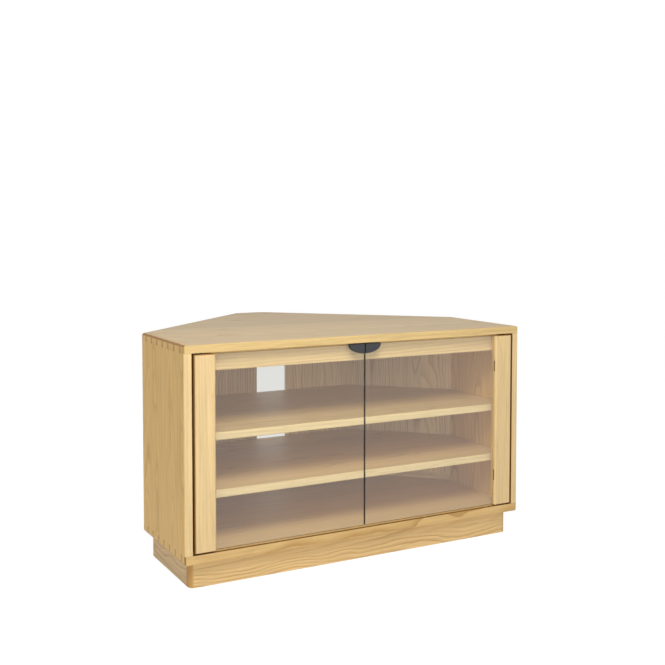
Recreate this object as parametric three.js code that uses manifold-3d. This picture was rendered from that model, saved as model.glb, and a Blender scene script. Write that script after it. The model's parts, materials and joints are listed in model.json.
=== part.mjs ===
// Corner television cabinet in pale lacquered ash, with two glass doors hung on wooden stiles.
// Millimetres, +Z up. The front faces -Y, and the origin is on the floor under the middle of the plan.
import * as THREE from "three";
import { mergeVertices } from "three/addons/utils/BufferGeometryUtils.js";
import Module from "manifold-3d";

const wasm = await Module();
wasm.setup();

// Carcass: the box of top, bottom and sides
const width = 1000;
const sideDepth = 325;
const cornerEdge = 94; // the short edge that the top turns to the corner of the room
const carcassHeight = 534;
const board = 20;
const floorBoard = 23;
const depth = sideDepth + (width - cornerEdge) / 2; // the long rear edges lie at 45 degrees
const edgeRound = 4;
const endRound = 8; // along the dovetailed edges
const frontCornerRound = 5;
const sideCornerRound = 6;
const roomCornerRound = 18;

// Plinth
const plinthHeight = 65;
const plinthBoard = 22;
const plinthSetback = 24;
const plinthInset = 20;
const plinthFrontRound = 16;
const plinthRearRound = 35;
const plinthBlock = 42;
const plinthBlockHeight = 55;

// Dovetails at the four corners of the carcass
const tailCount = 8;
const frontTail = 26; // from the carcass front to the middle of the first whole pin
const rearTail = 36;
const pinNarrow = 8;
const pinWide = 14;

// Three-sided back with its corner posts, floor rails and cable opening
const backFace = 545;
const panel = 14;
const panelInset = 12;
const panelTongue = 6;
const postLeg = 10;
const floorRail = 12;
const floorRailHeight = 20;
const floorRailSetback = 2;
const cableWidth = 100;
const cableSill = 69;
const cableHead = 50;
const cableOffset = -24;
const cableRound = 12;

// Rail under the top, behind the doors
const railHeight = 49;
const railThickness = 20;
const railSetback = 30;

// Shelves and their studs
const shelf = 20;
const shelfSetback = 36;
const shelfClearance = 1;
const shelfRound = 2;
const shelfCornerRound = 5;
const upperShelfTop = 310.5;
const lowerShelfTop = 167;
const studShank = 2.5;
const studHead = 3.5;
const studHole = 10;
const studReach = 9;
const studFrontPlace = 90;
const studRearInset = 58;

// Doors
const doorGap = 4; // above and below
const sideGap = 5;
const middleGap = 3;
const stileWidth = 56;
const stileThickness = 25;
const stileProud = 3; // how far the stiles stand out of the carcass front
const stileOuterRound = 6;
const stileInnerRound = 6;
const stileBackRound = 2;
const stileEndRound = 3;
const stileBackStep = 3;
const glass = 6;
const glassSetback = 6;
const glassEdgeDrop = 1;
const glassCornerRound = 2;
const glassArris = 0.6;
const grooveDepth = 12;

// Clips that hold the glass in the stile
const clipHeight = 30;
const clipDepth = 5;
const clipSkin = 3.5;
const clipInset = 1;
const clipPlace = 90;
const clipRound = 0.5;

// Door pivots
const pivotInset = 14;
const pivotRadius = 4;
const pivotSink = 14;
const pivotChamfer = 0.8;
const bushRadius = 6;
const bushFlange = 8;
const bushSink = 16;

// Half-moon pulls, one half on each door
const pullWidth = 45;
const pullHeight = 23;
const pullPlate = 2.5;
const pullBackPlate = 2.5;
const pullArris = 0.8;
const pullBoss = 4.7;
const pullBossInset = 20;
const pullBossDrop = 10;
const pullDrop = 0.8;
const pullLip = 1.5; // over the top edge of the glass

// Magnetic catches
const catchWidth = 22;
const catchHeight = 12;
const catchRound = 2;
const catchInset = 5;
const catchDrop = 4;

// Clearances and facets
const fit = 0.3; // between faces that touch
const overrun = 4; // how far a cutter passes the face that it cuts
const weld = 1e-4;
const roundSteps = 3;
const boreSteps = 20;
const ellipseSteps = 20;

// Levels and places worked out from the sizes above
const carcassFloor = plinthHeight;
const carcassTop = carcassFloor + carcassHeight;
const innerFloor = carcassFloor + floorBoard;
const innerTop = carcassTop - board;
const halfWidth = width / 2;
const innerHalf = halfWidth - board;
const backOuter = backFace + panel;
const bottomDepth = backOuter + panelInset;
const stileOuter = innerHalf - sideGap;
const stileInner = stileOuter - stileWidth;
const stileFloor = innerFloor + doorGap;
const stileTop = innerTop - doorGap;
const stileFront = -stileProud;
const stileBack = stileFront + stileThickness;
const glassBack = glassSetback + glass;
const glassFloor = stileFloor + glassEdgeDrop;
const glassTop = stileTop - glassEdgeDrop;
const glassInner = middleGap / 2;
const pivotX = stileOuter - pivotInset;
const pivotY = (stileFront + stileBack) / 2;
const railFloor = innerTop - railHeight;
const pullLevel = glassTop - pullDrop; // where a pull is widest
const pullTop = glassTop + fit + pullLip;
const pullBossX = glassInner + fit + pullBossInset;
const pullBossZ = pullLevel - pullBossDrop;
const slant = new THREE.Vector2(1, -1).normalize(); // along the right-hand diagonal, towards the side
const outward = new THREE.Vector2(1, 1).normalize(); // square to the right-hand diagonal

// x of the right-hand diagonal at a depth y, moved in from the outline by an inset
function diagonalX(y, inset) {
  return halfWidth + sideDepth - inset * Math.SQRT2 - y;
}

// Materials
function finish(color, roughness, metalness = 0) {
  return new THREE.MeshStandardMaterial({ color, roughness, metalness });
}
const ash = finish(0xe3c48f, 0.45);
const backAsh = finish(0xd8b884, 0.5);
const clearGlass = finish(0xa9a79f, 0.05);
const slateMetal = finish(0x3f4148, 0.45, 0.6);
const steel = finish(0xb8b8b8, 0.3, 1);
const darkPlastic = finish(0x2b211a, 0.6);

// Outlines
function polygon(points) {
  return new THREE.Shape(points.map(([x, y]) => new THREE.Vector2(x, y)));
}

// A convex outline, turning anticlockwise, with an arc at each corner
function roundedPolygon(points, radii) {
  const shape = new THREE.Shape();
  const corners = points.map(([x, y]) => new THREE.Vector2(x, y));
  corners.forEach((corner, i) => {
    const before = corners[(i + corners.length - 1) % corners.length];
    const after = corners[(i + 1) % corners.length];
    const back = before.clone().sub(corner).normalize();
    const on = after.clone().sub(corner).normalize();
    const half = Math.acos(THREE.MathUtils.clamp(back.dot(on), -1, 1)) / 2;
    const middle = back.clone().add(on).normalize();
    const centre = corner.clone().addScaledVector(middle, radii[i] / Math.sin(half));
    const start = corner.clone().addScaledVector(back, radii[i] / Math.tan(half)).sub(centre);
    const end = corner.clone().addScaledVector(on, radii[i] / Math.tan(half)).sub(centre);
    shape.absarc(centre.x, centre.y, radii[i], start.angle(), end.angle(), false);
  });
  shape.closePath();
  return shape;
}

function rectangle(left, right, low, high) {
  return polygon([[left, low], [right, low], [right, high], [left, high]]);
}

function roundedRectangle(left, right, low, high, radius) {
  const corners = [[left, low], [right, low], [right, high], [left, high]];
  return roundedPolygon(corners, corners.map(() => radius));
}

// Prisms: a plan raised along Z, a side view run along X, and a front view run along Y
function upright(shape, floor, top, round = 0) {
  const options = { depth: top - floor - 2 * round, curveSegments: roundSteps, bevelEnabled: false };
  if (round > 0) {
    options.bevelEnabled = true;
    options.bevelThickness = round;
    options.bevelSize = round;
    options.bevelOffset = -round;
    options.bevelSegments = roundSteps;
  }
  return new THREE.ExtrudeGeometry(shape, options).translate(0, 0, floor + round);
}

function turned(geometry, alongX, alongY, alongZ) {
  return geometry.applyMatrix4(new THREE.Matrix4().makeBasis(alongX, alongY, alongZ));
}

const unitX = new THREE.Vector3(1, 0, 0);
const unitY = new THREE.Vector3(0, 1, 0);
const unitZ = new THREE.Vector3(0, 0, 1);
const downX = unitX.clone().negate();
const downY = unitY.clone().negate();
const downZ = unitZ.clone().negate();

function acrossX(shape, from, to) {
  return turned(upright(shape, from, to), unitY, unitZ, unitX);
}

function acrossY(shape, from, to, round = 0) {
  return turned(upright(shape, -to, -from, round), unitX, unitZ, downY);
}

// A piece made along Z, laid down to point at the front, at the back or at the middle plane
function towardsFront(geometry) {
  return turned(geometry, unitX, unitZ, downY);
}

function towardsBack(geometry) {
  return turned(geometry, unitX, downZ, unitY);
}

function towardsMiddle(geometry) {
  return turned(geometry, unitY, downZ, downX);
}

// A turned piece: the profile gives radius and height, and closes on the axis or on itself
function lathed(profile, steps = boreSteps) {
  const points = profile.map(([radius, height]) => new THREE.Vector2(radius, height));
  return towardsFront(new THREE.LatheGeometry(points, steps));
}

function rod(radius, from, to, chamfer = 0) {
  if (chamfer === 0) return lathed([[0, from], [radius, from], [radius, to], [0, to]]);
  return lathed([
    [0, from],
    [radius - chamfer, from],
    [radius, from + chamfer],
    [radius, to - chamfer],
    [radius - chamfer, to],
    [0, to],
  ]);
}

// Booleans
function solid(geometry) {
  const bare = geometry.index ? geometry.toNonIndexed() : geometry.clone();
  bare.deleteAttribute("normal");
  bare.deleteAttribute("uv");
  const merged = mergeVertices(bare, weld);
  const vertProperties = merged.attributes.position.array;
  const triVerts = new Uint32Array(merged.index.array);
  return new wasm.Manifold(new wasm.Mesh({ numProp: 3, vertProperties, triVerts }));
}

function cut(piece, ...cutters) {
  return cutters.reduce((rest, cutter) => rest.subtract(solid(cutter)), piece);
}

function geometryOf(piece) {
  const mesh = piece.getMesh();
  const geometry = new THREE.BufferGeometry();
  const position = new Float32Array(mesh.numVert * 3);
  for (let i = 0; i < mesh.numVert; i++) {
    const first = i * mesh.numProp;
    position.set(mesh.vertProperties.subarray(first, first + 3), i * 3);
  }
  geometry.setAttribute("position", new THREE.BufferAttribute(position, 3));
  geometry.setIndex(new THREE.BufferAttribute(new Uint32Array(mesh.triVerts), 1));
  return geometry;
}

// The same piece on the other side of the middle plane, with its faces turned outward again
function mirrored(geometry) {
  const flat = geometry.index ? geometry.toNonIndexed() : geometry.clone();
  const position = flat.attributes.position;
  const twin = new Float32Array(position.count * 3);
  for (let i = 0; i < position.count; i++) {
    const from = i % 3 === 0 ? i : i % 3 === 1 ? i + 1 : i - 1;
    twin.set([-position.getX(from), position.getY(from), position.getZ(from)], i * 3);
  }
  return new THREE.BufferGeometry().setAttribute("position", new THREE.BufferAttribute(twin, 3));
}

// The cabinet, drawn with the carcass front at y = 0, then moved so that the origin is in the middle
const cabinet = new THREE.Group();
cabinet.position.y = -(stileFront + depth) / 2;

function add(name, geometry, material) {
  const shown = geometry.index ? geometry.toNonIndexed() : geometry.clone();
  shown.deleteAttribute("normal");
  shown.deleteAttribute("uv");
  shown.computeVertexNormals();
  const mesh = new THREE.Mesh(shown, material.clone());
  mesh.name = name;
  cabinet.add(mesh);
}

function addPair(name, geometry, material) {
  add("right_" + name, geometry, material);
  add("left_" + name, mirrored(geometry), material);
}

// The rounded box that the glued carcass is brought to, for a plan that ends at a given depth
function envelope(planDepth, cornerRound) {
  const rearHalf = diagonalX(planDepth, 0);
  const plan = roundedPolygon(
    [
      [-halfWidth, 0],
      [halfWidth, 0],
      [halfWidth, sideDepth],
      [rearHalf, planDepth],
      [-rearHalf, planDepth],
      [-halfWidth, sideDepth],
    ],
    [frontCornerRound, frontCornerRound, sideCornerRound, cornerRound, cornerRound, sideCornerRound],
  );
  const front = roundedRectangle(-halfWidth, halfWidth, carcassFloor, carcassTop, endRound);
  const box = solid(acrossY(front, -overrun, planDepth + overrun));
  return solid(upright(plan, carcassFloor, carcassTop, edgeRound)).intersect(box);
}

// Dovetail tails of the right-hand side, at its top or bottom end, each grown by a clearance
function tails(atTop, clearance) {
  const baseline = atTop ? innerTop : innerFloor;
  const end = atTop ? carcassTop : carcassFloor;
  const away = Math.sign(end - baseline);
  const pitch = (sideDepth - frontTail - rearTail) / (tailCount - 2);
  const slope = (pinWide - pinNarrow) / 2 / Math.abs(end - baseline); // how fast a tail widens
  const pins = [0]; // their middles, with half a pin at each end
  for (let i = 0; i < tailCount - 1; i++) pins.push(frontTail + i * pitch);
  pins.push(sideDepth);
  const root = pinWide / 2 - clearance + slope * overrun;
  const tip = pinNarrow / 2 - clearance - slope * overrun;
  const low = baseline - away * overrun;
  const high = end + away * overrun;
  const prisms = [];
  for (let i = 0; i < tailCount; i++) {
    const corners = [
      [pins[i] + root, low],
      [pins[i + 1] - root, low],
      [pins[i + 1] - tip, high],
      [pins[i] + tip, high],
    ];
    const outline = polygon(atTop ? corners : corners.reverse());
    prisms.push(acrossX(outline, innerHalf - clearance, halfWidth + overrun));
  }
  return prisms;
}

function joined(geometries) {
  return geometries.map(solid).reduce((whole, next) => whole.add(next));
}

// The three-sided back in plan, grown by a clearance, from the groove of one side to the other's
function backBand(clearance) {
  const face = backFace - clearance;
  const rear = backOuter + clearance;
  const faceInset = panelInset + panel + clearance;
  const rearInset = panelInset - clearance;
  const end = innerHalf + panelTongue + clearance;
  const right = [
    [diagonalX(face, faceInset), face],
    [end, diagonalX(end, faceInset)],
    [end, diagonalX(end, rearInset)],
    [diagonalX(rear, rearInset), rear],
  ];
  return polygon([...right, ...right.map(([x, y]) => [-x, y]).reverse()]);
}

// Plans of the right-hand half of the back
const innerBend = new THREE.Vector2(diagonalX(backFace, panelInset + panel), backFace);
const outerBend = new THREE.Vector2(diagonalX(backOuter, panelInset), backOuter);

function diagonalPlan(thickness, frontSetback = 0) {
  const start = innerBend.clone().addScaledVector(slant, postLeg + fit);
  const near = start.clone().addScaledVector(outward, frontSetback);
  const far = near.clone().addScaledVector(outward, thickness);
  const end = innerHalf + panelTongue;
  const nearSum = near.x + near.y;
  const farSum = far.x + far.y;
  return polygon([
    [near.x, near.y],
    [end, nearSum - end],
    [end, farSum - end],
    [far.x, far.y],
  ]);
}

function centreHalf() {
  return innerBend.x - postLeg - fit;
}

function postPlan() {
  const left = innerBend.x - postLeg;
  const near = innerBend.clone().addScaledVector(slant, postLeg);
  const far = near.clone().addScaledVector(outward, panel);
  return polygon([
    [left, backFace],
    [innerBend.x, backFace],
    [near.x, near.y],
    [far.x, far.y],
    [outerBend.x, outerBend.y],
    [left, backOuter],
  ]);
}

const panelFloor = innerFloor + floorRailHeight + fit;
const panelTop = innerTop + panelTongue;

function pivotBores(atTop) {
  const from = atTop ? innerTop - overrun : innerFloor - pivotSink - fit;
  const to = atTop ? innerTop + pivotSink + fit : innerFloor + overrun;
  const bore = rod(pivotRadius + fit, from, to).translate(pivotX, pivotY, 0);
  return [bore, mirrored(bore)];
}

function makeTop() {
  const plan = rectangle(-width, width, -overrun, depth + overrun);
  const slab = upright(plan, innerTop, carcassTop + overrun);
  const sockets = tails(true, fit);
  const piece = envelope(depth, roomCornerRound).intersect(solid(slab));
  const groove = upright(backBand(fit), innerTop - overrun, panelTop + fit);
  const cutters = [...sockets, ...sockets.map(mirrored), groove, ...pivotBores(true)];
  add("top_board", geometryOf(cut(piece, ...cutters)), ash);
}

function makeBottom() {
  const plan = rectangle(-width, width, -overrun, depth + overrun);
  const slab = upright(plan, carcassFloor - overrun, innerFloor);
  const sockets = tails(false, fit);
  const piece = envelope(bottomDepth, sideCornerRound).intersect(solid(slab));
  const cutters = [...sockets, ...sockets.map(mirrored), ...pivotBores(false)];
  add("bottom_board", geometryOf(cut(piece, ...cutters)), ash);
}

// Stud holes are bored into the side and into the middle panel of the back
function studLevel(shelfTop) {
  return carcassFloor + shelfTop - shelf - fit - studHead;
}
const studLevels = [studLevel(upperShelfTop), studLevel(lowerShelfTop)];
const studPlaces = [studFrontPlace, sideDepth - studRearInset];
const cableReach = Math.abs(cableOffset) + cableWidth / 2;
const studBackPlace = (cableReach + centreHalf()) / 2;

function sideBores() {
  return studLevels.flatMap((level) =>
    studPlaces.map((place) => {
      const bore = rod(studShank + fit, -studHole - fit, overrun);
      return towardsMiddle(bore).translate(innerHalf, place, level);
    }),
  );
}

function makeSides() {
  const plan = rectangle(innerHalf, halfWidth + overrun, -overrun, sideDepth + board + overrun);
  const wall = solid(upright(plan, innerFloor + fit, innerTop - fit));
  const block = solid(upright(plan, carcassFloor - overrun, carcassTop + overrun));
  const ends = joined([...tails(true, 0), ...tails(false, 0)]).intersect(block);
  const piece = wall.add(ends).intersect(envelope(bottomDepth, sideCornerRound));
  const groove = upright(backBand(fit), innerFloor + fit - overrun, panelTop + fit);
  addPair("side_panel", geometryOf(cut(piece, groove, ...sideBores())), ash);
}

function makeBack() {
  const half = centreHalf();
  const plan = rectangle(-half, half, backFace, backOuter);
  const window = roundedRectangle(
    cableOffset - cableWidth / 2,
    cableOffset + cableWidth / 2,
    carcassFloor + cableSill,
    innerTop - cableHead,
    cableRound,
  );
  const bores = studLevels.flatMap((level) =>
    [-1, 1].map((way) => {
      const bore = rod(studShank + fit, -studHole - fit, overrun);
      return towardsFront(bore).translate(way * studBackPlace, backFace, level);
    }),
  );
  const centre = solid(upright(plan, panelFloor, panelTop));
  const opening = acrossY(window, backFace - overrun, backOuter + overrun);
  add("back_centre_panel", geometryOf(cut(centre, opening, ...bores)), backAsh);
  addPair("back_panel", upright(diagonalPlan(panel), panelFloor, panelTop), backAsh);
  addPair("back_post", upright(postPlan(), innerFloor + fit, panelTop), backAsh);

  const railBack = backFace + floorRailSetback + floorRail;
  const centreRail = rectangle(-half, half, backFace + floorRailSetback, railBack);
  const railTop = innerFloor + floorRailHeight;
  const diagonalRail = diagonalPlan(floorRail, floorRailSetback);
  add("back_centre_floor_rail", upright(centreRail, innerFloor + fit, railTop), ash);
  addPair("back_floor_rail", upright(diagonalRail, innerFloor + fit, railTop), ash);
}

function makeTopRail() {
  const half = innerHalf - fit;
  const section = roundedRectangle(
    railSetback,
    railSetback + railThickness,
    railFloor,
    innerTop - fit,
    shelfRound,
  );
  add("top_front_rail", acrossX(section, -half, half), ash);
}

function makeShelf(name, shelfTop) {
  const half = innerHalf - shelfClearance;
  const rear = backFace - shelfClearance;
  const inset = panelInset + panel + shelfClearance;
  const rearHalf = diagonalX(rear, inset);
  const bend = diagonalX(half, inset); // the diagonal is its own mirror image in x = y
  const corners = [
    [-half, shelfSetback],
    [half, shelfSetback],
    [half, bend],
    [rearHalf, rear],
    [-rearHalf, rear],
    [-half, bend],
  ];
  const plan = roundedPolygon(corners, corners.map(() => shelfCornerRound));
  const top = carcassFloor + shelfTop;
  add(name, upright(plan, top - shelf, top, shelfRound), ash);
}

function makeStuds() {
  const names = ["upper", "lower"];
  const stud = () =>
    lathed([
      [0, -studHole],
      [studShank, -studHole],
      [studShank, 0],
      [studHead, 0],
      [studHead, studReach],
      [0, studReach],
    ]);
  studLevels.forEach((level, i) => {
    studPlaces.forEach((place, j) => {
      const piece = towardsMiddle(stud()).translate(innerHalf - fit, place, level);
      addPair(`${names[i]}_stud_${["front", "rear"][j]}`, piece, steel);
    });
    const piece = towardsFront(stud()).translate(studBackPlace, backFace - fit, level);
    addPair(`${names[i]}_stud_back`, piece, steel);
  });
}

// The right-hand stile: rounded edges, and a groove in its inner edge for the glass
function stilePlan() {
  const grooveEnd = stileInner + grooveDepth;
  const innerBack = stileInner + stileBackStep;
  const lip = glassSetback - fit;
  const quarter = Math.PI / 2;
  const shape = new THREE.Shape();
  const outerY = stileFront + stileOuterRound;
  const innerY = stileFront + stileInnerRound;
  const backY = stileBack - stileBackRound;
  shape.absarc(stileOuter - stileOuterRound, outerY, stileOuterRound, -quarter, 0, false);
  shape.absarc(stileOuter - stileBackRound, backY, stileBackRound, 0, quarter, false);
  shape.absarc(innerBack + stileBackRound, backY, stileBackRound, quarter, 2 * quarter, false);
  shape.lineTo(innerBack, glassBack + fit);
  shape.lineTo(grooveEnd, glassBack + fit);
  shape.lineTo(grooveEnd, lip);
  shape.lineTo(stileInner, lip);
  shape.absarc(stileInner + stileInnerRound, innerY, stileInnerRound, 2 * quarter, 3 * quarter, false);
  return shape;
}

const clipLevels = [innerTop - clipPlace, innerFloor + clipPlace];

function makeStiles() {
  const frontView = roundedRectangle(stileInner, stileOuter, stileFloor, stileTop, stileEndRound);
  const sideView = roundedRectangle(stileFront, stileBack, stileFloor, stileTop, stileEndRound);
  const piece = solid(upright(stilePlan(), stileFloor, stileTop))
    .intersect(solid(acrossY(frontView, stileFront, stileBack)))
    .intersect(solid(acrossX(sideView, stileInner, stileOuter)));
  const bores = [
    rod(bushRadius + fit, stileFloor - overrun, stileFloor + bushSink + fit),
    rod(bushRadius + fit, stileTop - bushSink - fit, stileTop + overrun),
  ].map((bore) => bore.translate(pivotX, pivotY, 0));
  const clipFront = stileFront + clipSkin;
  const pockets = clipLevels.map((level) =>
    upright(
      rectangle(stileInner - overrun, stileInner + clipDepth, clipFront, glassSetback),
      level - clipHeight / 2,
      level + clipHeight / 2,
    ),
  );
  addPair("door_stile", geometryOf(cut(piece, ...bores, ...pockets)), ash);

  clipLevels.forEach((level, i) => {
    const plan = roundedRectangle(
      stileInner + clipInset,
      stileInner + clipDepth - fit,
      clipFront + fit,
      glassSetback - fit,
      clipRound,
    );
    const low = level - clipHeight / 2 + fit;
    const high = level + clipHeight / 2 - fit;
    addPair(["upper_glass_clip", "lower_glass_clip"][i], upright(plan, low, high), darkPlastic);
  });
}

function makeGlass() {
  const pane = roundedRectangle(
    glassInner,
    stileInner + grooveDepth - fit,
    glassFloor,
    glassTop,
    glassCornerRound,
  );
  const piece = solid(acrossY(pane, glassSetback, glassBack, glassArris));
  const bore = towardsBack(rod(pullBoss + fit, glassSetback - overrun, glassBack + overrun));
  addPair("door_glass", geometryOf(cut(piece, bore.translate(pullBossX, 0, pullBossZ))), clearGlass);
}

// A quarter of an ellipse at the middle of the doors, run up past the top edge of the glass
function pullShape() {
  const inner = glassInner + fit;
  const shape = new THREE.Shape();
  shape.moveTo(inner, pullTop);
  for (let i = 0; i <= ellipseSteps; i++) {
    const angle = (i / ellipseSteps - 1) * (Math.PI / 2);
    shape.lineTo(inner + pullWidth * Math.cos(angle), pullLevel + pullHeight * Math.sin(angle));
  }
  shape.lineTo(inner + pullWidth, pullTop);
  return shape;
}

// The front half hooks over the glass, and its boss passes through it
function makePulls() {
  const front = glassSetback - fit;
  const block = solid(acrossY(pullShape(), front - pullPlate, glassBack, pullArris));
  const room = rectangle(front, glassBack + overrun, pullLevel - pullHeight - overrun, glassTop + fit);
  const hook = cut(block, acrossX(room, glassInner - overrun, glassInner + pullWidth + overrun));
  const boss = towardsBack(rod(pullBoss, front - pullPlate / 2, glassBack));
  addPair("pull_front", geometryOf(hook.add(solid(boss.translate(pullBossX, 0, pullBossZ)))), slateMetal);
  const rear = glassBack + fit;
  addPair("pull_back", acrossY(pullShape(), rear, rear + pullBackPlate, pullArris), slateMetal);
}

function makeCatches() {
  const face = roundedRectangle(
    glassInner + catchInset,
    glassInner + catchInset + catchWidth,
    pullLevel - catchDrop - catchHeight,
    pullLevel - catchDrop,
    catchRound,
  );
  addPair("door_catch", acrossY(face, glassBack + pullBackPlate + 2 * fit, railSetback - fit), darkPlastic);
}

function makePivots() {
  const places = [
    ["lower", innerFloor, stileFloor, 1],
    ["upper", innerTop, stileTop, -1],
  ];
  places.forEach(([name, seat, stileEnd, way]) => {
    const ends = [seat - way * pivotSink, stileEnd + way * pivotSink].sort((a, b) => a - b);
    const pin = rod(pivotRadius, ...ends, pivotChamfer);
    addPair(`${name}_pivot_pin`, pin.translate(pivotX, pivotY, 0), steel);
    const bore = pivotRadius + fit;
    const flangeNear = stileEnd - way * fit;
    const flangeFar = seat + way * fit;
    const profile = [
      [bore, flangeFar],
      [bushFlange, flangeFar],
      [bushFlange, flangeNear],
      [bushRadius, flangeNear],
      [bushRadius, stileEnd + way * bushSink],
      [bore, stileEnd + way * bushSink],
      [bore, flangeFar],
    ];
    const ring = lathed(way > 0 ? profile : profile.reverse());
    addPair(`${name}_pivot_bush`, ring.translate(pivotX, pivotY, 0), steel);
  });
}

// Plinth: a ring of six boards and two glue blocks, under the carcass
function makePlinth() {
  const top = carcassFloor - fit;
  const outerHalf = halfWidth - plinthInset;
  const innerEdge = outerHalf - plinthBoard;
  const rear = bottomDepth - plinthInset;
  const outerRear = diagonalX(rear, plinthInset);
  const outerSide = diagonalX(outerHalf, plinthInset);
  const innerRear = diagonalX(rear - plinthBoard, plinthInset + plinthBoard);
  const innerSide = diagonalX(innerEdge, plinthInset + plinthBoard);
  const outline = roundedPolygon(
    [
      [-outerHalf, plinthSetback],
      [outerHalf, plinthSetback],
      [outerHalf, outerSide],
      [outerRear, rear],
      [-outerRear, rear],
      [-outerHalf, outerSide],
    ],
    [plinthFrontRound, plinthFrontRound, plinthRearRound, plinthRearRound, plinthRearRound, plinthRearRound],
  );
  const ring = solid(upright(outline, 0, top));
  const within = (shape) => geometryOf(solid(upright(shape, 0, top)).intersect(ring));
  const sideFront = plinthSetback + plinthBoard;

  add("plinth_front", within(rectangle(-outerHalf, outerHalf, plinthSetback, sideFront)), ash);
  addPair(
    "plinth_side",
    within(
      polygon([
        [innerEdge, sideFront + fit],
        [outerHalf, sideFront + fit],
        [outerHalf, outerSide - fit],
        [innerEdge, innerSide - fit],
      ]),
    ),
    ash,
  );
  addPair(
    "plinth_diagonal",
    within(
      polygon([
        [innerEdge, innerSide],
        [outerHalf, outerSide],
        [outerRear, rear],
        [innerRear, rear - plinthBoard],
      ]),
    ),
    ash,
  );
  add(
    "plinth_back",
    within(
      polygon([
        [-innerRear + fit, rear - plinthBoard],
        [innerRear - fit, rear - plinthBoard],
        [outerRear - fit, rear],
        [-outerRear + fit, rear],
      ]),
    ),
    ash,
  );
  const blockX = innerEdge - fit;
  const blockY = sideFront + fit;
  const block = polygon([
    [blockX, blockY],
    [blockX, blockY + plinthBlock],
    [blockX - plinthBlock, blockY],
  ]);
  addPair("plinth_block", upright(block, top - plinthBlockHeight, top), ash);
}

makeTop();
makeBottom();
makeSides();
makeBack();
makeTopRail();
makeShelf("upper_shelf", upperShelfTop);
makeShelf("lower_shelf", lowerShelfTop);
makeStuds();
makeStiles();
makeGlass();
makePulls();
makeCatches();
makePivots();
makePlinth();

const group = new THREE.Group();
group.add(cabinet);
export default group;
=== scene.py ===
"""Corner television cabinet in lacquered ash: its finishes, light and camera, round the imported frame.

Metres, +Z up. The doors face -Y, and the floor is z = 0.
"""

import json
import math

import bpy
from mathutils import Matrix, Vector


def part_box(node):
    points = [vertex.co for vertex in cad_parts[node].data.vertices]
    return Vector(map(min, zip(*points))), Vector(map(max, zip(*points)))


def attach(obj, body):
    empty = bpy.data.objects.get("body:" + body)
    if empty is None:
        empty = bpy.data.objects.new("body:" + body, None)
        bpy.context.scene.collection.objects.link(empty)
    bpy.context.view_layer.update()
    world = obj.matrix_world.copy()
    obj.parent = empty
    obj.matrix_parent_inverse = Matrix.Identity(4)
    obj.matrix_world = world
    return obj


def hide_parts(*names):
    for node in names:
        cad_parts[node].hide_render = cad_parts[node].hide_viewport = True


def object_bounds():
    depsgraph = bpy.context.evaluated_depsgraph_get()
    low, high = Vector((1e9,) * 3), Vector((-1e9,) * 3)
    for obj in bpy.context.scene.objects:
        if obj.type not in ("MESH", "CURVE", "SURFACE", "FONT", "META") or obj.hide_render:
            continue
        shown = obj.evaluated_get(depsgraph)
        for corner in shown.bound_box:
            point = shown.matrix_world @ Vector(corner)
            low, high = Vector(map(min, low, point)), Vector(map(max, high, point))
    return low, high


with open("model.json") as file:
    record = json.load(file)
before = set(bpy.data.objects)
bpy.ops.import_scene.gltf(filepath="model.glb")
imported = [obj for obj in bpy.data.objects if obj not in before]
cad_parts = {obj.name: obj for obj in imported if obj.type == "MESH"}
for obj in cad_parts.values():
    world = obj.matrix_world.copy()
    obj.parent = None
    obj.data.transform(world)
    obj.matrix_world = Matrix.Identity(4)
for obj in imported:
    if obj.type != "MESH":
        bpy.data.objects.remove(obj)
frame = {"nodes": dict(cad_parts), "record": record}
cad_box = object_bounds()

MM = 0.001
BODY_OF = {node: body for body, nodes in frame["record"]["behaviour"]["bodies"].items() for node in nodes}
SLOT_OF = {entry["node"]: entry["material_slot"] for entry in frame["record"]["subparts"]}

# Camera: where the photograph was taken from, worked out from the cabinet's straight edges
CAMERA_PLACE = Vector((-1.299, -2.6515, 0.8815))
CAMERA_YAW = 29.03  # degrees from +Y towards +X
CAMERA_PITCH = 2.96  # degrees below level
CAMERA_ROLL = 0.06
PHOTO_SIDE = 665  # pixels
FOCAL_PIXELS = 1002.9
OPTICAL_CENTRE = (352.04, 278.48)  # pixels from the photograph's top left corner
SENSOR = 36.0  # mm

# Light. Its levels are shares of the light that a white dome gives.
KEY_AZIMUTH = -20  # degrees from the cabinet's front towards its left side
KEY_ELEVATION = 41
KEY_DISTANCE = 2.3
KEY_SIZE = 0.78
KEY_LEVEL = 0.48
CEILING_LEVEL = 0.13
WALL_LEVEL = 0.7  # where a wall meets the floor
WALL_FADE = 4.0  # power of the fall from there to the ceiling
LIT_WALLS = (  # degrees from the front towards the right side, how narrow the lit patch is, and its level
    (-28, 6.0, 1.9),  # before the doors, a little to the left
    (135, 4.0, 1.1),  # behind the cabinet's right side
)
WHITE = (1.0, 1.0, 1.0, 1.0)
FLOOR_SIDE = 40.0
FLOOR_PAINT = "#f2f2f2"
FLOOR_GLOW = 1.1
FLOOR_GLOW_SHARE = 0.88  # the rest is paint, which keeps the shadow
GLASS_DIMS_FLOOR = 0.25  # what is taken off the glow and the walls where they are seen through glass
GLASS_DIMS_WALLS = 0.15


def linear(colour):
    """An sRGB hex value as linear red, green, blue and alpha."""
    shares = [int(colour[i : i + 2], 16) / 255 for i in (1, 3, 5)]
    return [c / 12.92 if c <= 0.04045 else ((c + 0.055) / 1.055) ** 2.4 for c in shares] + [1.0]


def put(tree, kind, inputs=None, **settings):
    """Adds a node. An input is a plain value, a socket, or a node, which stands for its first output."""
    node = tree.nodes.new("ShaderNode" + kind)
    for name, value in settings.items():
        setattr(node, name, value)
    for socket, value in (inputs or {}).items():
        if isinstance(value, bpy.types.Node):
            value = value.outputs[0]
        if isinstance(value, bpy.types.NodeSocket):
            tree.links.new(value, node.inputs[socket])
        else:
            node.inputs[socket].default_value = value
    return node


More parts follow.
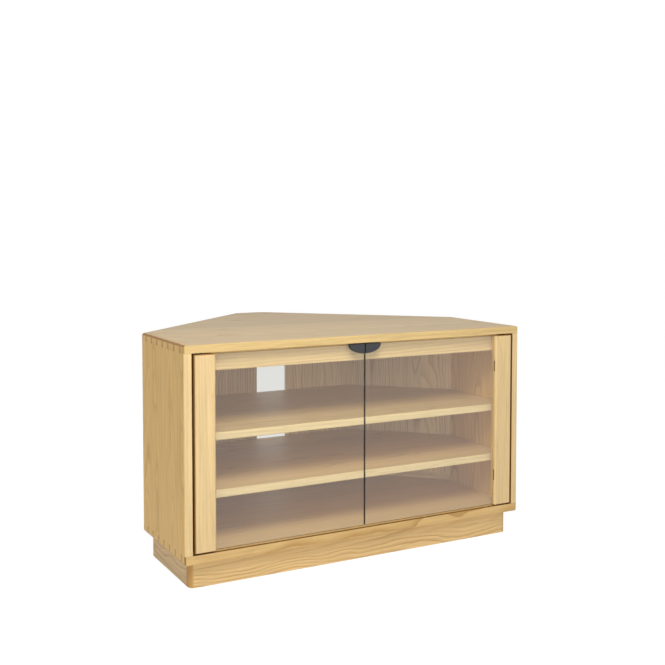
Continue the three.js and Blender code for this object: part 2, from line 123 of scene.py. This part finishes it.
def new_material(name):
    """A material with only an output, and its node tree."""
    material = bpy.data.materials.new(name)
    material.use_nodes = True
    material.node_tree.nodes.clear()
    return material, material.node_tree


def set_stops(ramp, stops):
    """Gives a colour ramp its stops, each a place and a grey level."""
    while len(ramp.elements) < len(stops):
        ramp.elements.new(1.0)
    for element, (place, level) in zip(ramp.elements, stops):
        element.position = place
        element.color = (level, level, level, 1.0)


# Ash: ring-porous, so each growth ring starts with a dark band of open pores and fades to pale latewood.
# The rings are drawn about twice as wide as real ones, which the render couldn't show.
PITH_NEAR = 16.0  # mm from a board's face to the heart of the log
PITH_SPREAD = 62.0
PITH_SLOPE = 0.11  # how much a board runs off the log's axis, which closes the rings into arches
STAVE_SHIFT = 0.8  # how far a stave's heart lies off its middle, as a share of its width
SLOW_BEND = 32.0  # mm
SLOW_WAVES = (0.0045, 0.011, 0.011)  # per mm, along, across and through the board
WOBBLE = 2.6  # mm
WOBBLE_WAVES = (0.014, 0.07, 0.07)
FIBRE_WAVES = (0.005, 0.2, 0.2)
PORE_WAVES = (0.05, 1.1, 1.1)
WEAKEST_YEAR = 0.25  # of the darkest growth band
LATEWOOD_PORES = 0.2  # share of the pores that lie outside the dark bands
LOG_APART = (913.0, 377.0, 0.0)  # mm between the places where two logs are taken from
RING_STOPS = ((0.0, 0.12), (0.07, 1.0), (0.3, 0.5), (0.62, 0.12), (1.0, 0.04))
PORE_STOPS = ((0.0, 0.0), (0.56, 0.0), (0.7, 1.0), (1.0, 1.0))


def ash_figure():
    """Group that turns board coordinates in mm, along, across and through the board, into ash's figure."""
    group = bpy.data.node_groups.new("ash figure", "ShaderNodeTree")
    face = group.interface
    face.new_socket("Board", in_out="INPUT", socket_type="NodeSocketVector")
    for name in ("Seed", "Stave", "Ring"):
        face.new_socket(name, in_out="INPUT", socket_type="NodeSocketFloat")
    for name in ("Rings", "Fibres", "Pores", "Tone"):
        face.new_socket(name, in_out="OUTPUT", socket_type="NodeSocketFloat")
    given = group.nodes.new("NodeGroupInput").outputs
    result = group.nodes.new("NodeGroupOutput").inputs

    board = put(group, "SeparateXYZ", {0: given["Board"]}).outputs
    along, across, through = board[0], board[1], board[2]
    seed = given["Seed"]

    # Each stave is cut from its own log
    count = put(group, "Math", {0: across, 1: given["Stave"]}, operation="DIVIDE")
    count = put(group, "Math", {0: count, 1: seed}, operation="ADD")
    stave = put(group, "Math", {0: count}, operation="FLOOR")
    inside = put(group, "Math", {0: count}, operation="FRACT")
    key = put(group, "CombineXYZ", {0: stave, 1: seed})
    chance = put(group, "TexWhiteNoise", {"Vector": key}, noise_dimensions="2D").outputs["Color"]
    chance = put(group, "SeparateColor", {0: chance}).outputs
    middle = -0.5 - STAVE_SHIFT / 2
    shift = put(group, "Math", {0: chance[0], 1: STAVE_SHIFT, 2: middle}, operation="MULTIPLY_ADD")
    sideways = put(group, "Math", {0: inside, 1: shift}, operation="ADD")
    sideways = put(group, "Math", {0: sideways, 1: given["Stave"]}, operation="MULTIPLY")

    # The trunk bends slowly along its length
    place = put(group, "CombineXYZ", {0: along, 1: across, 2: through})
    moved = put(group, "VectorMath", {0: key, 1: LOG_APART}, operation="MULTIPLY")
    place = put(group, "VectorMath", {0: place, 1: moved}, operation="ADD")
    slow = put(group, "VectorMath", {0: place, 1: SLOW_WAVES}, operation="MULTIPLY")
    slow = put(group, "TexNoise", {"Vector": slow, "Scale": 1.0, "Detail": 2.0})
    slow = put(group, "Math", {0: slow, 1: -0.5}, operation="ADD")
    sideways = put(group, "Math", {0: slow, 1: SLOW_BEND, 2: sideways}, operation="MULTIPLY_ADD")
    slope = put(group, "Math", {0: chance[2], 1: PITH_SLOPE, 2: -PITH_SLOPE / 2}, operation="MULTIPLY_ADD")
    depth = put(group, "Math", {0: chance[1], 1: PITH_SPREAD, 2: PITH_NEAR}, operation="MULTIPLY_ADD")
    depth = put(group, "Math", {0: along, 1: slope, 2: depth}, operation="MULTIPLY_ADD")
    depth = put(group, "Math", {0: depth, 1: through}, operation="ADD")
    depth = put(group, "Math", {0: slow, 1: SLOW_BEND, 2: depth}, operation="MULTIPLY_ADD")
    radius = put(group, "CombineXYZ", {0: sideways, 1: depth})
    radius = put(group, "VectorMath", {0: radius}, operation="LENGTH").outputs["Value"]
    quick = put(group, "VectorMath", {0: place, 1: WOBBLE_WAVES}, operation="MULTIPLY")
    quick = put(group, "TexNoise", {"Vector": quick, "Scale": 1.0, "Detail": 3.0})
    quick = put(group, "Math", {0: quick, 1: WOBBLE}, operation="MULTIPLY")
    radius = put(group, "Math", {0: radius, 1: quick}, operation="ADD")

    ring = put(group, "Math", {0: radius, 1: given["Ring"]}, operation="DIVIDE")
    year = put(group, "Math", {0: ring}, operation="FLOOR")
    year = put(group, "CombineXYZ", {0: year, 1: stave, 2: seed})
    year = put(group, "TexWhiteNoise", {"Vector": year}, noise_dimensions="3D").outputs["Value"]
    year = put(group, "Math", {0: year, 1: 1 - WEAKEST_YEAR, 2: WEAKEST_YEAR}, operation="MULTIPLY_ADD")
    season = put(group, "Math", {0: ring}, operation="FRACT")
    season = put(group, "ValToRGB", {0: season})
    set_stops(season.color_ramp, RING_STOPS)
    rings = put(group, "Math", {0: season, 1: year}, operation="MULTIPLY")

    # Long fibres, and short dashes of open pore that are thickest in the dark bands
    fibres = put(group, "VectorMath", {0: place, 1: FIBRE_WAVES}, operation="MULTIPLY")
    fibres = put(group, "TexNoise", {"Vector": fibres, "Scale": 1.0, "Detail": 4.0, "Roughness": 0.65})
    pores = put(group, "VectorMath", {0: place, 1: PORE_WAVES}, operation="MULTIPLY")
    pores = put(group, "TexNoise", {"Vector": pores, "Scale": 1.0, "Detail": 2.0})
    pores = put(group, "ValToRGB", {0: pores})
    set_stops(pores.color_ramp, PORE_STOPS)
    crowd = {0: rings, 1: 1 - LATEWOOD_PORES, 2: LATEWOOD_PORES}
    crowd = put(group, "Math", crowd, operation="MULTIPLY_ADD")
    pores = put(group, "Math", {0: pores, 1: crowd}, operation="MULTIPLY")

    for name, value in (("Rings", rings), ("Fibres", fibres), ("Pores", pores)):
        group.links.new(value.outputs[0], result[name])
    tone = put(group, "Math", {0: chance[0], 1: chance[1]}, operation="ADD")
    tone = put(group, "Math", {0: tone, 1: 0.5}, operation="MULTIPLY")
    group.links.new(tone.outputs[0], result["Tone"])
    return group


figure_group = ash_figure()
PALE_ASH = "#e9cb95"
PIN_BROWN = "#c59353"
TAIL_END = "#d2b27a"
ROUNDED_END = "#9c6c2e"
PAINTED_GAP_SHADE = "#8f6530"
PORE_BROWN = "#94632c"
PORE_STAIN = 0.3
PORE_DEPTH = 0.1  # mm
GROWTH_BAND = 0.58  # how dark a growth band is against the pale wood
BAND_WARMTH = (0.7, 1.0, 1.5)  # powers of that in red, green and blue, which keep the band warm
EDGE_CALM = 0.6  # share of the figure that a planed edge loses
STREAKS = (0.87, 1.1)  # darkest and palest fibres
LOGS = (0.93, 1.07)  # darkest and palest logs
LACQUER_ROUGHNESS = 0.5
PORE_ROUGHNESS = 0.18  # what an open pore adds


def lacquered_ash(
    node,
    along,
    across,
    seed,
    face=PALE_ASH,
    edge=PALE_ASH,
    stave=96.0,
    ring=7.5,
    strength=0.75,
    turn=0,
    sheen=0.3,
    end=PIN_BROWN,
    rounded_end=ROUNDED_END,
    gap_shade=None,
):
    """Satin-lacquered ash for one board: warm straw, darker growth bands, a soft shine over open pores.

    along and across are the axes of the grain and of the board's width, once the board is turned level.
    face, edge, end and rounded_end are the colours of its cuts. stave and ring are widths in mm. The last
    argument gives the axis, side and depth in mm of the faces that line the slit round a door, darkened by a
    painted shade.
    """
    material, tree = new_material("lacquered ash " + node.replace("_", " "))
    low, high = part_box(node)
    middle = (low + high) / 2
    middle.rotate(Matrix.Rotation(math.radians(turn), 3, "Z"))
    through = ({"X", "Y", "Z"} - {along, across}).pop()
    coordinates = put(tree, "TexCoord").outputs
    spin = (0.0, 0.0, math.radians(turn))
    place = put(
        tree,
        "Mapping",
        {
            "Vector": coordinates["Object"],
            "Location": -middle / MM,
            "Rotation": spin,
            "Scale": (1 / MM, 1 / MM, 1 / MM),
        },
    )
    place = put(tree, "SeparateXYZ", {0: place}).outputs
    board = put(tree, "CombineXYZ", {0: place[along], 1: place[across], 2: place[through]})
    figure = put(tree, "Group", {}, node_tree=figure_group)
    tree.links.new(board.outputs[0], figure.inputs["Board"])
    figure.inputs["Seed"].default_value = seed
    figure.inputs["Stave"].default_value = stave
    figure.inputs["Ring"].default_value = ring
    shown = figure.outputs
    normal = put(tree, "Mapping", {"Vector": coordinates["Normal"], "Rotation": spin})
    normal = put(tree, "SeparateXYZ", {0: normal}).outputs

    # A board's face is warmer than its planed edge, and has more figure. The top board's face colour is also
    # set darker, as painted shade
    edged = put(tree, "Math", {0: normal[across]}, operation="ABSOLUTE")
    edged = put(tree, "MapRange", {0: edged, 1: 0.3, 2: 0.9}, interpolation_type="SMOOTHSTEP")
    cut = put(tree, "MixRGB", {0: edged, 1: linear(face), 2: linear(edge)})
    figured = put(tree, "Math", {0: edged, 1: -EDGE_CALM * strength, 2: strength}, operation="MULTIPLY_ADD")
    rings = put(tree, "Math", {0: shown["Rings"], 1: figured}, operation="MULTIPLY")
    darker = [GROWTH_BAND**power for power in BAND_WARMTH]
    band = put(tree, "VectorMath", {0: cut, 1: darker}, operation="MULTIPLY")
    colour = put(tree, "MixRGB", {0: rings, 1: cut, 2: band})
    streak = put(tree, "MapRange", {0: shown["Fibres"], 1: 0.3, 2: 0.7, 3: STREAKS[0], 4: STREAKS[1]})
    tone = put(tree, "MapRange", {0: shown["Tone"], 3: LOGS[0], 4: LOGS[1]})
    level = put(tree, "Math", {0: streak, 1: tone}, operation="MULTIPLY")
    colour = put(tree, "VectorMath", {0: colour, "Scale": level.outputs[0]}, operation="SCALE")

    # End grain drinks more lacquer, so it is a little browner. It is drawn brownest where it turns over a
    # rounded edge
    ends = put(tree, "Math", {0: normal[along]}, operation="ABSOLUTE")
    turned = put(tree, "Math", {0: normal[through]}, operation="ABSOLUTE")
    turned = put(tree, "MapRange", {0: turned, 1: 0.0, 2: 0.5}, interpolation_type="SMOOTHSTEP")
    soaked = put(tree, "MixRGB", {0: turned, 1: linear(end), 2: linear(rounded_end)})
    ends = put(tree, "MapRange", {0: ends, 1: 0.2, 2: 0.6}, interpolation_type="SMOOTHSTEP")
    stain_and_painted_shade = put(tree, "Math", {0: shown["Pores"], 1: PORE_STAIN}, operation="MULTIPLY")
    stain_and_painted_shade = put(tree, "MixRGB", {0: stain_and_painted_shade, 1: colour, 2: linear(PORE_BROWN)})
    stain_and_painted_shade = put(tree, "MixRGB", {0: ends, 1: stain_and_painted_shade, 2: soaked})

    # Painted shade: the faces that line the gap round a door are darkened to a shaded brown, so that the gap
    # reads as one dark line
    if gap_shade:
        axis, sign, depth = gap_shade
        gap_shade_mask = put(tree, "Math", {0: normal[axis], 1: sign}, operation="MULTIPLY")
        gap_shade_mask = put(tree, "MapRange", {0: gap_shade_mask, 1: 0.35, 2: 0.8}, interpolation_type="SMOOTHSTEP")
        near = put(tree, "Math", {0: place["Y"], 1: depth - (high - low).y / 2 / MM}, operation="LESS_THAN")
        gap_shade_mask = put(tree, "Math", {0: gap_shade_mask, 1: near}, operation="MULTIPLY")
        stain_and_painted_shade = put(tree, "MixRGB", {0: gap_shade_mask, 1: stain_and_painted_shade, 2: linear(PAINTED_GAP_SHADE)})

    rough = {0: shown["Pores"], 1: PORE_ROUGHNESS, 2: LACQUER_ROUGHNESS}
    rough = put(tree, "Math", rough, operation="MULTIPLY_ADD")
    height = put(tree, "Math", {0: shown["Pores"], 1: -1.0}, operation="MULTIPLY")
    bump = put(tree, "Bump", {"Height": height, "Strength": 0.25, "Distance": PORE_DEPTH * MM})
    surface = put(
        tree,
        "BsdfPrincipled",
        {"Base Color": stain_and_painted_shade, "Roughness": rough, "IOR": 1.5, "Specular IOR Level": sheen, "Normal": bump},
    )
    put(tree, "OutputMaterial", {"Surface": surface})
    return material


GLASS_BODY = "#f6f6f2"
GLASS_HAZE = 0.85  # a second shine over the pane, which veils the inside as in a bright room
GLASS_EDGE = "#1c221c"
PAINTED_GLASS_EDGE_SHADE = "#5e4524"
GLASS_TO_LIGHT = "#fbfbf8"


def float_glass():
    """Clear float glass: nearly colourless across and dark green along its side edges, with a painted brown
    shade along its top and bottom edges.
    """
    material, tree = new_material("float glass")
    body = put(
        tree,
        "BsdfPrincipled",
        {
            "Base Color": linear(GLASS_BODY),
            "Roughness": 0.0,
            "IOR": 1.52,
            "Transmission Weight": 1.0,
            "Coat Weight": GLASS_HAZE,
            "Coat Roughness": 0.0,
        },
    )
    normal = put(tree, "TexCoord").outputs["Normal"]
    normal = put(tree, "SeparateXYZ", {0: normal}).outputs
    # Painted shade: the lower and upper edges, which stand close to the boards, are drawn in the brown of
    # the shaded wood there
    level = put(tree, "Math", {0: normal["Z"]}, operation="ABSOLUTE")
    edge_green_and_painted_shade = put(tree, "MixRGB", {0: level, 1: linear(GLASS_EDGE), 2: linear(PAINTED_GLASS_EDGE_SHADE)})
    edge = put(
        tree,
        "BsdfPrincipled",
        {"Base Color": edge_green_and_painted_shade, "Roughness": 0.4, "IOR": 1.52, "Specular IOR Level": 0.15},
    )
    facing = put(tree, "Math", {0: normal["Y"]}, operation="ABSOLUTE")
    edged = put(tree, "Math", {0: facing, 1: 0.5}, operation="LESS_THAN")
    pane = put(tree, "MixShader", {0: edged, 1: body, 2: edge})
    # Light that only passes through goes straight on
    path = put(tree, "LightPath").outputs
    passing = put(tree, "Math", {0: path["Is Shadow Ray"], 1: path["Is Diffuse Ray"]}, operation="MAXIMUM")
    clear = put(tree, "BsdfTransparent", {"Color": linear(GLASS_TO_LIGHT)})
    pane = put(tree, "MixShader", {0: passing, 1: pane, 2: clear})
    put(tree, "OutputMaterial", {"Surface": pane})
    return material


ROUGHNESS_SWING = 0.06


def speckled(name, colour, grain, depth, roughness, swing):
    """A finish with an even, fine grain: grain and depth in mm, and swing as how far its colour varies."""
    material, tree = new_material(name)
    place = put(tree, "TexCoord").outputs["Object"]
    noise = put(tree, "TexNoise", {"Vector": place, "Scale": 1 / (grain * MM), "Detail": 3.0})
    level = put(tree, "MapRange", {0: noise, 3: 1 - swing, 4: 1 + swing})
    shade = put(tree, "VectorMath", {0: linear(colour)[:3], "Scale": level.outputs[0]}, operation="SCALE")
    rough = put(tree, "MapRange", {0: noise, 3: roughness - ROUGHNESS_SWING, 4: roughness + ROUGHNESS_SWING})
    bump = put(tree, "Bump", {"Height": noise, "Strength": 0.3, "Distance": depth * MM})
    surface = put(
        tree,
        "BsdfPrincipled",
        {"Base Color": shade, "Roughness": rough, "Normal": bump},
    )
    put(tree, "OutputMaterial", {"Surface": surface})
    return material


WELD_REACH = 0.001  # mm
FLAT_ANGLE = 0.5  # degrees, below which two CAD faces are one
SMOOTH_ANGLE = 32  # degrees, below which two faces are shaded as one curve
ARRIS_STEPS = 2


def refined(node, material, arris):
    """The CAD piece with its edges eased by an arris in mm and its rounded faces shaded smooth."""
    mesh = frame["nodes"][node].data.copy()
    piece = bpy.data.objects.new(node + "_finished", mesh)
    bpy.context.scene.collection.objects.link(piece)
    mesh.materials.clear()
    mesh.materials.append(material)
    weld = piece.modifiers.new("weld", "WELD")
    weld.merge_threshold = WELD_REACH * MM
    flat = piece.modifiers.new("flat", "DECIMATE")
    flat.decimate_type = "DISSOLVE"
    flat.angle_limit = math.radians(FLAT_ANGLE)
    if arris:
        ease = piece.modifiers.new("arris", "BEVEL")
        ease.width = arris * MM
        ease.segments = ARRIS_STEPS
        ease.limit_method = "ANGLE"
        ease.angle_limit = math.radians(SMOOTH_ANGLE)
        ease.use_clamp_overlap = True
    evaluated = piece.evaluated_get(bpy.context.evaluated_depsgraph_get())
    finished = bpy.data.meshes.new_from_object(evaluated)
    piece.modifiers.clear()
    piece.data = finished
    finished.shade_smooth()
    finished.set_sharp_from_angle(angle=math.radians(SMOOTH_ANGLE))
    even = piece.modifiers.new("even shading", "WEIGHTED_NORMAL")
    even.keep_sharp = True
    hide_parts(node)
    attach(piece, BODY_OF[node])
    return piece


# How each board is cut: the axis its grain follows, the axis across its face, and how strong the figure is.
# Boards of one kind share their cut, and each has a seed of its own, so that no two show the same log.
SIDE = dict(along="Z", across="Y", stave=102.0, strength=0.7, face="#f0c678", end=TAIL_END)
BACK = dict(along="Z", across="X", stave=110.0, ring=6.5, strength=1.2, face="#f0d3a0")
POST = dict(along="Z", across="X", strength=0.5)
FLOOR_RAIL = dict(along="X", across="Z", strength=0.5)
SHELF = dict(along="X", across="Y", stave=120.0, strength=0.6, face="#f2d192", edge="#f6dba4")
STILE = dict(along="Z", across="X", stave=180.0)
PLINTH_SIDE = dict(along="Y", across="Z", stave=150.0, strength=0.8, face="#e8c894")
PLINTH_REAR = dict(along="X", across="Z", stave=150.0, strength=0.8)
# Where a board lists the faces that line the gap round a door, those faces get a painted shade.
BOARDS = {
    # The top's face colour is set darker and greyer than the pale ash: painted shade, for the weaker light
    # that falls on the top.
    "top_board": dict(
        along="X", across="Y", seed=1.3, stave=105.0, ring=9.0, strength=0.7,
        face="#d7bb8c", edge="#dfc083", sheen=0.5,
    ),
    "bottom_board": dict(
        along="X", across="Z", seed=2.9, stave=140.0, ring=8.0, strength=1.0,
        face="#e2be80", edge="#f7d493", end="#cfa465", gap_shade=("Z", 1.0, 9.0),
    ),
    "left_side_panel": dict(SIDE, seed=3.1, gap_shade=("X", 1.0, 26.0)),
    "right_side_panel": dict(SIDE, seed=4.4, gap_shade=("X", -1.0, 26.0)),
    "back_centre_panel": dict(BACK, seed=2.17, stave=118.0, face="#f9dba5"),
    "left_back_panel": dict(BACK, seed=6.7, turn=-45),
    "right_back_panel": dict(BACK, seed=33.4, turn=45),
    "left_back_post": dict(POST, seed=8.3),
    "right_back_post": dict(POST, seed=9.6),
    "back_centre_floor_rail": dict(FLOOR_RAIL, seed=10.1),
    "left_back_floor_rail": dict(FLOOR_RAIL, seed=11.4, turn=-45),
    "right_back_floor_rail": dict(FLOOR_RAIL, seed=12.8, turn=45),
    "top_front_rail": dict(along="X", across="Z", seed=13.2, stave=160.0, strength=0.6, face="#f6d599"),
    "upper_shelf": dict(SHELF, seed=14.5),
    "lower_shelf": dict(SHELF, seed=15.7),
    "left_door_stile": dict(STILE, seed=16.4, strength=0.15, gap_shade=("X", -1.0, 99.0)),
    "right_door_stile": dict(STILE, seed=17.9, strength=0.2, gap_shade=("X", 1.0, 99.0)),
    "plinth_front": dict(
        along="X", across="Z", seed=2.95, stave=150.0, ring=9.0, strength=1.0,
        face="#e4c48c", rounded_end="#c79a5a",
    ),
    "left_plinth_side": dict(PLINTH_SIDE, seed=19.5),
    "right_plinth_side": dict(PLINTH_SIDE, seed=20.3),
    "left_plinth_diagonal": dict(PLINTH_REAR, seed=21.6, turn=-45),
    "right_plinth_diagonal": dict(PLINTH_REAR, seed=22.4, turn=45),
    "plinth_back": dict(PLINTH_REAR, seed=23.7),
    "left_plinth_block": dict(POST, seed=24.2),
    "right_plinth_block": dict(POST, seed=25.9),
}
BOARD_ARRIS = 0.6  # mm

for board, cut in BOARDS.items():
    refined(board, lacquered_ash(board, **cut), BOARD_ARRIS)

# The other parts, by what they are made of, each with its arris in mm. Powder coat reads as soft slate,
# blackened steel as a dark dot in the gap, and brown nylon as nothing but a shade of the wood beside it.
PARTS = {
    "clear_glass": (float_glass(), 0.0),
    "slate_metal": (speckled("slate powder coat", "#333436", 0.35, 0.02, 0.5, 0.08), 0.0),
    "steel": (speckled("blackened steel", "#2c2a27", 0.6, 0.01, 0.5, 0.05), 0.25),
    "dark_plastic": (speckled("moulded brown nylon", "#835e30", 0.3, 0.02, 0.5, 0.08), 0.2),
}
for node, slot in SLOT_OF.items():
    if slot in PARTS:
        refined(node, *PARTS[slot])


def make_floor():
    """White studio floor. It reads as white to the eye and to reflections, and keeps part of the shadow."""
    bpy.ops.mesh.primitive_plane_add(size=FLOOR_SIDE)
    floor = bpy.context.object
    floor.name = "floor"
    material, tree = new_material("white studio floor")
    seen = put(tree, "LightPath").outputs
    clear = put(tree, "Math", {0: seen["Is Camera Ray"], 1: seen["Is Glossy Ray"]}, operation="MAXIMUM")
    clear = put(tree, "Math", {0: clear, 1: seen["Is Transmission Ray"]}, operation="MAXIMUM")
    share = put(tree, "Math", {0: clear, 1: FLOOR_GLOW_SHARE}, operation="MULTIPLY")
    paint = put(tree, "BsdfDiffuse", {"Color": linear(FLOOR_PAINT)})
    dimmed = {0: seen["Is Transmission Ray"], 1: -GLASS_DIMS_FLOOR, 2: FLOOR_GLOW}
    dimmed = put(tree, "Math", dimmed, operation="MULTIPLY_ADD")
    glow = put(tree, "Emission", {"Color": WHITE, "Strength": dimmed})
    surface = put(tree, "MixShader", {0: share, 1: paint, 2: glow})
    put(tree, "OutputMaterial", {"Surface": surface})
    floor.data.materials.append(material)


def make_world():
    """A studio: white to the eye, to gloss and to glass. Its light comes from the walls, mostly in front."""
    world = bpy.data.worlds.new("white studio")
    world.use_nodes = True
    tree = world.node_tree
    tree.nodes.clear()
    heading = put(tree, "TexCoord").outputs["Generated"]
    height = put(tree, "SeparateXYZ", {0: heading}).outputs["Z"]
    wall = put(tree, "MapRange", {0: height, 1: 0.0, 2: 1.0, 3: 1.0, 4: 0.0})
    wall = put(tree, "Math", {0: wall, 1: WALL_FADE}, operation="POWER")
    level = put(tree, "Math", {0: wall, 1: WALL_LEVEL, 2: CEILING_LEVEL}, operation="MULTIPLY_ADD")
    for turn, narrowness, strength in LIT_WALLS:
        toward = (math.sin(math.radians(turn)), -math.cos(math.radians(turn)), 0.0)
        lit = put(tree, "VectorMath", {0: heading, 1: toward}, operation="DOT_PRODUCT").outputs["Value"]
        lit = put(tree, "Math", {0: lit, 1: 0.0}, operation="MAXIMUM")
        lit = put(tree, "Math", {0: lit, 1: narrowness}, operation="POWER")
        level = put(tree, "Math", {0: lit, 1: strength, 2: level}, operation="MULTIPLY_ADD")
    light = put(tree, "Background", {"Color": WHITE, "Strength": level})
    seen = put(tree, "LightPath").outputs
    clear = put(tree, "Math", {0: seen["Is Camera Ray"], 1: seen["Is Glossy Ray"]}, operation="MAXIMUM")
    clear = put(tree, "Math", {0: clear, 1: seen["Is Transmission Ray"]}, operation="MAXIMUM")
    dimmed = {0: seen["Is Transmission Ray"], 1: -GLASS_DIMS_WALLS, 2: 1.0}
    dimmed = put(tree, "Math", dimmed, operation="MULTIPLY_ADD")
    white = put(tree, "Background", {"Color": WHITE, "Strength": dimmed})
    surface = put(tree, "MixShader", {0: clear, 1: light, 2: white})
    put(tree, "OutputWorld", {"Surface": surface})
    bpy.context.scene.world = world


def make_key():
    """A softbox high in front, a little to the left."""
    turn, lift = math.radians(KEY_AZIMUTH), math.radians(KEY_ELEVATION)
    away = Vector((math.sin(turn) * math.cos(lift), -math.cos(turn) * math.cos(lift), math.sin(lift)))
    low, high = cad_box
    data = bpy.data.lights.new("key", "AREA")
    data.shape = "SQUARE"
    data.size = KEY_SIZE
    data.energy = KEY_LEVEL * (math.pi * KEY_DISTANCE) ** 2
    key = bpy.data.objects.new("key", data)
    key.location = (low + high) / 2 + away * KEY_DISTANCE
    key.rotation_euler = away.to_track_quat("Z", "Y").to_euler()
    key.visible_glossy = False
    bpy.context.scene.collection.objects.link(key)


def make_camera():
    data = bpy.data.cameras.new("camera")
    data.sensor_width = SENSOR
    data.lens = FOCAL_PIXELS / PHOTO_SIDE * SENSOR
    data.shift_x = 0.5 - OPTICAL_CENTRE[0] / PHOTO_SIDE
    data.shift_y = OPTICAL_CENTRE[1] / PHOTO_SIDE - 0.5
    camera = bpy.data.objects.new("camera", data)
    turn = Matrix.Rotation(math.radians(-CAMERA_YAW), 4, "Z")
    tilt = Matrix.Rotation(math.radians(90 - CAMERA_PITCH), 4, "X")
    roll = Matrix.Rotation(math.radians(CAMERA_ROLL), 4, "Z")
    camera.matrix_world = Matrix.Translation(CAMERA_PLACE) @ turn @ tilt @ roll
    bpy.context.scene.collection.objects.link(camera)
    bpy.context.scene.camera = camera


make_floor()
make_world()
make_key()
make_camera()
bpy.context.scene.view_settings.view_transform = "Standard"
